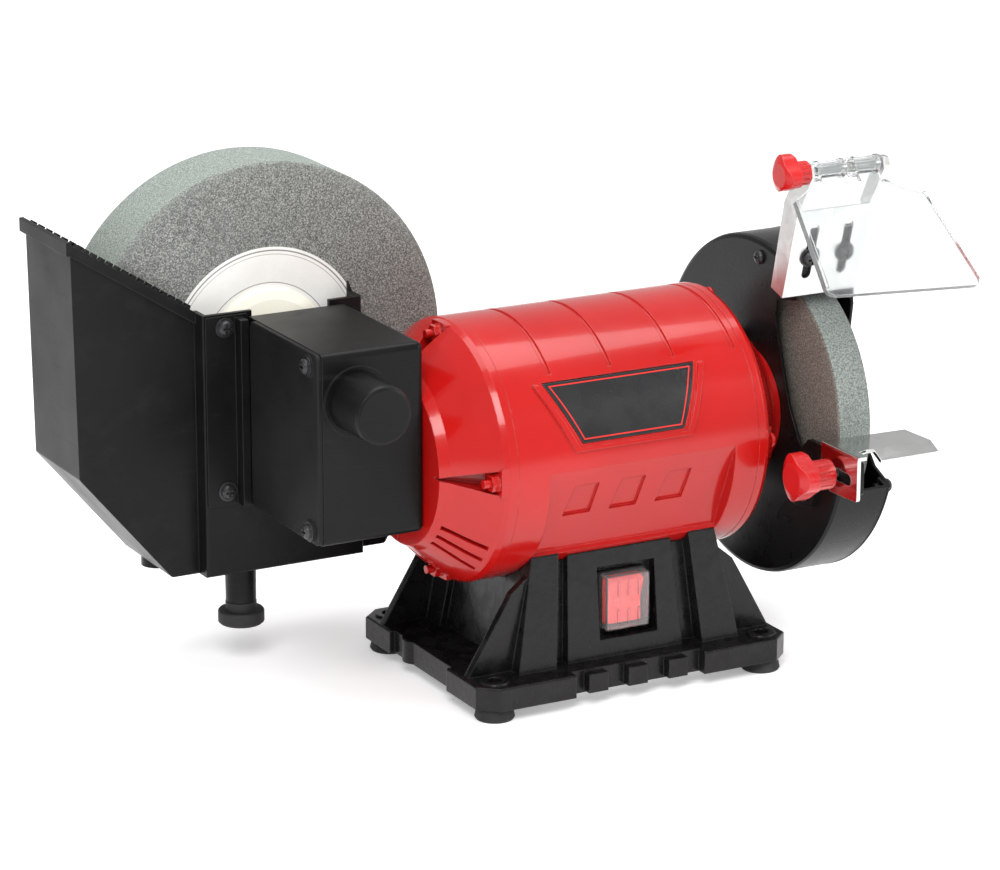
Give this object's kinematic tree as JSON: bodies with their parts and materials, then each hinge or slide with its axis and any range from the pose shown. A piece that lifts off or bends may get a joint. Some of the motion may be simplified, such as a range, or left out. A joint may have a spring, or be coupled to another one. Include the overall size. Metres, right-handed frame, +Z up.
{
  "type": "bench grinder",
  "caption": "Combined wet and dry bench grinder: motor with a guarded fast wheel, and a worm gearbox driving a slow wet wheel in a water trough.",
  "frame": {"origin": "centre of the four bench bolt holes, on the bench surface under the rubber feet", "axes": "+X along the motor shaft from the wet wheel to the dry wheel, +Y to the back, +Z up"},
  "size_m": [0.4172, 0.2631, 0.2762],
  "materials": {
    "base_paint": "hammered black enamel",
    "red_paint": "gloss red enamel",
    "badge_skin": "blank black plate with a thin red line",
    "foot_rubber": "matt",
    "zinc_sheet": "galvanised sheet",
    "fastener_steel": "bright zinc",
    "black_screw": "blackened",
    "bearing_steel": "ground",
    "shaft_steel": "turned",
    "lamination": "stacked laminations",
    "copper_winding": "varnished copper",
    "bronze": "sintered bronze",
    "gear_brass": "cut gear",
    "gearbox_black": "fine satin",
    "cover_black": "fine grain",
    "trough_black": "fine satin",
    "stone_grey": "speckled abrasive",
    "stone_brown": "fine abrasive",
    "label_paper": "plain paper with fine rings",
    "flange_cream": "smooth enamel",
    "blotter": "soft board",
    "guard_black": "satin powder coat",
    "clear_shield": "clear polycarbonate",
    "knob_red": "moulded",
    "rest_steel": "bright plated",
    "switch_black": "moulded",
    "rocker_red": "translucent red",
    "cover_clear": "soft clear dust cover",
    "can_grey": "drawn can",
    "plug_black": "moulded"
  },
  "bodies": {
    "frame": {"base_casting": "base_paint", "rubber_feet": "foot_rubber", "bottom_plate": "zinc_sheet", "bottom_plate_screws": "fastener_steel", "motor_housing": "red_paint", "badge_plate": "badge_skin", "left_end_bell": "red_paint", "right_end_bell": "red_paint", "tie_bolts": "red_paint", "tie_bolt_nuts": "red_paint", "motor_mount_screws": "fastener_steel", "stator_core": "lamination", "stator_windings": "copper_winding", "bearing_outer_races": "bearing_steel", "bearing_balls": "bearing_steel", "gearbox_bushes": "bronze", "gearbox_housing": "gearbox_black", "gearbox_cover": "cover_black", "gearbox_screws": "black_screw", "shaft_cap": "gearbox_black", "water_trough": "trough_black", "guard_shell": "guard_black", "guard_side_cover": "guard_black", "guard_cover_screws": "black_screw", "guard_mount_screws": "black_screw", "deflector_screws": "black_screw", "rest_strut": "guard_black", "strut_screws": "black_screw", "switch_body": "switch_black", "switch_cover": "cover_clear", "capacitor": "can_grey", "cord_gland": "switch_black"},
    "rotor": {"rotor_core": "lamination", "motor_shaft": "shaft_steel", "bearing_inner_races": "bearing_steel", "worm": "shaft_steel", "dry_inner_flange": "zinc_sheet", "dry_wheel": "stone_brown", "dry_blotters": "blotter", "dry_outer_flange": "zinc_sheet", "dry_nut": "fastener_steel"},
    "idler": {"idler_shaft": "shaft_steel", "worm_wheel": "gear_brass", "idler_pinion": "shaft_steel"},
    "wet_spindle": {"wet_shaft": "shaft_steel", "wet_gear": "gear_brass", "wet_wheel": "stone_grey", "wet_wheel_labels": "label_paper", "wet_inner_flange": "flange_cream", "wet_outer_flange": "flange_cream", "wet_nut": "fastener_steel"},
    "rocker": {"switch_rocker": "rocker_red"},
    "deflector": {"deflector_bracket": "zinc_sheet"},
    "shield": {"eye_shield": "clear_shield"},
    "shield_clamp": {"shield_knob": "knob_red", "shield_rod": "fastener_steel"},
    "rest": {"tool_rest": "rest_steel"},
    "rest_clamp": {"rest_knob": "knob_red", "rest_bolt": "fastener_steel"},
    "drain": {"drain_plug": "plug_black"}
  },
  "joints": [
    {"name": "motor_spin", "type": "hinge", "parent": "frame", "child": "rotor", "pos_m": [0, 0, 0.1256], "axis": [1, 0, 0], "continuous": true},
    {"name": "idler_spin", "type": "hinge", "parent": "frame", "child": "idler", "pos_m": [-0.1406, 0, 0.1436], "axis": [0, 1, 0], "continuous": true},
    {"name": "wet_spin", "type": "hinge", "parent": "frame", "child": "wet_spindle", "pos_m": [-0.1406, 0, 0.1676], "axis": [0, 1, 0], "continuous": true},
    {"name": "rocker_tilt", "type": "hinge", "parent": "frame", "child": "rocker", "pos_m": [0.0025, -0.044, 0.047], "axis": [1, 0, 0], "range_deg": [-14, 0]},
    {"name": "deflector_slide", "type": "slide", "parent": "frame", "child": "deflector", "axis": [0, -0.2666, 0.9638], "range_m": [-0.006, 0.009]},
    {"name": "shield_tilt", "type": "hinge", "parent": "deflector", "child": "shield", "pos_m": [0.118, -0.0685, 0.266], "axis": [1, 0, 0], "range_deg": [-60, 12]},
    {"name": "shield_clamp_turn", "type": "hinge", "parent": "deflector", "child": "shield_clamp", "pos_m": [0.118, -0.0685, 0.266], "axis": [1, 0, 0], "continuous": true},
    {"name": "rest_slide", "type": "slide", "parent": "frame", "child": "rest", "axis": [0, 1, 0], "range_m": [-0.003, 0.002]},
    {"name": "rest_clamp_turn", "type": "hinge", "parent": "frame", "child": "rest_clamp", "pos_m": [0.09, -0.0908, 0.1122], "axis": [1, 0, 0], "continuous": true},
    {"name": "drain_plug_pull", "type": "slide", "parent": "frame", "child": "drain", "axis": [0, 0, -1], "range_m": [0, 0.02]}
  ],
  "couplings": [
    {"joint": "idler_spin", "follows": "motor_spin", "ratio": 0.090909},
    {"joint": "wet_spin", "follows": "motor_spin", "ratio": -0.045455}
  ]
}
